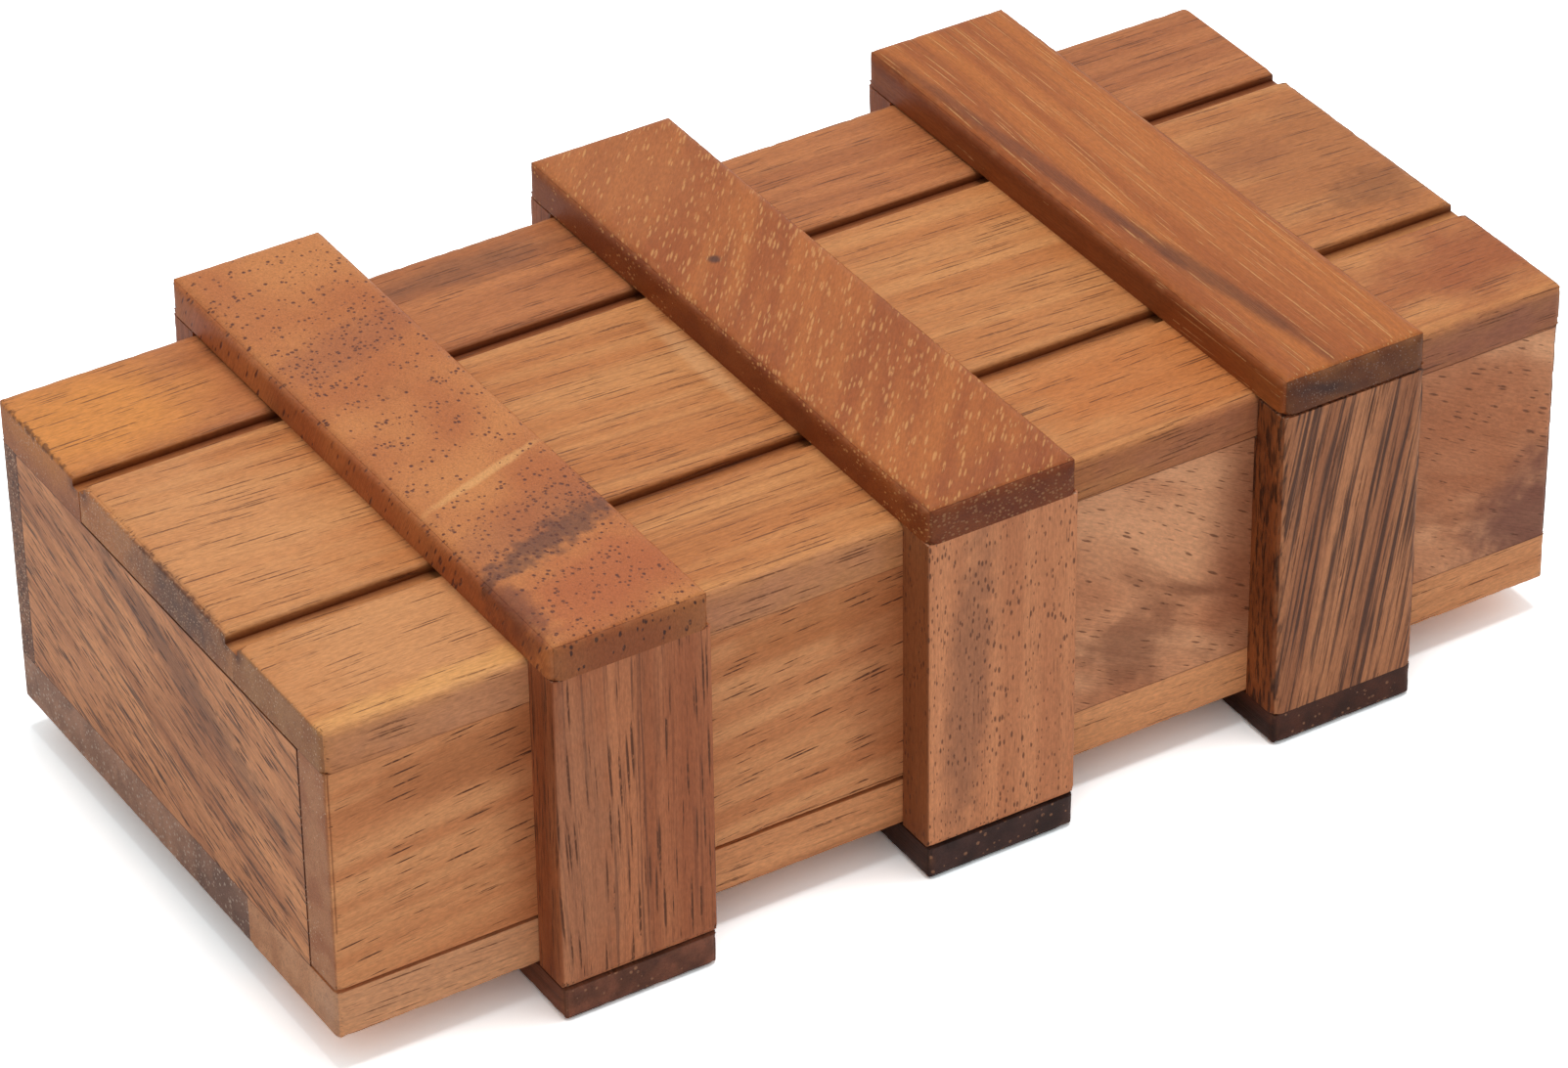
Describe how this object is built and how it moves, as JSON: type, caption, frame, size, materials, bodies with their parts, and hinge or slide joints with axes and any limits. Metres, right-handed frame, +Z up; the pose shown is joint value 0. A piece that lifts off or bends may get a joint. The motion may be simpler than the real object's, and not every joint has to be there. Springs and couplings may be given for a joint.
{
  "type": "wooden puzzle box",
  "caption": "Small hardwood crate with bands of battens; its lid and part of its front slide lengthwise as one piece, once a hidden drop pin is freed, to open a storage space.",
  "frame": {"origin": "on the surface that the box stands on, under the middle of its outline", "axes": "+X along the box to the right, as seen from the front with the split front board; +Y to the rear; +Z up"},
  "size_m": [0.165, 0.0888, 0.0512],
  "materials": {
    "plank_wood": "oiled hardwood, satin",
    "front_wood": "oiled hardwood, satin",
    "panel_wood": "oiled hardwood, satin",
    "dark_wood": "oiled hardwood, satin",
    "top_batten_wood": "oiled hardwood, satin",
    "side_batten_wood": "oiled hardwood, satin",
    "inner_wood": "sawn hardwood, unfinished",
    "pin_steel": "plain ground steel"
  },
  "bodies": {
    "case": {"rear_top_plank": "plank_wood", "rear_side_board": "panel_wood", "left_end_panel": "panel_wood", "right_end_panel": "panel_wood", "front_side_board_right": "front_wood", "bottom_board_rear": "dark_wood", "bottom_board_front": "front_wood", "bottom_batten_left": "dark_wood", "bottom_batten_middle": "dark_wood", "bottom_batten_right": "dark_wood", "rear_side_batten_left": "side_batten_wood", "rear_side_batten_middle": "side_batten_wood", "rear_side_batten_right": "side_batten_wood", "front_side_batten_right": "side_batten_wood", "lock_block": "inner_wood"},
    "lid": {"lid_plank_middle": "plank_wood", "lid_plank_front": "plank_wood", "front_side_board_left": "front_wood", "top_batten_left": "top_batten_wood", "top_batten_middle": "top_batten_wood", "top_batten_right": "top_batten_wood", "front_side_batten_left": "side_batten_wood", "front_side_batten_middle": "side_batten_wood", "lid_tongue": "inner_wood"},
    "lock_pin": {"lock_pin": "pin_steel"}
  },
  "joints": [
    {"name": "lid_slide", "type": "slide", "parent": "case", "child": "lid", "axis": [-1, 0, 0], "range_m": [0, 0.07]},
    {"name": "lock_pin_drop", "type": "slide", "parent": "lid", "child": "lock_pin", "axis": [0, 0, -1], "range_m": [0, 0.005]}
  ]
}
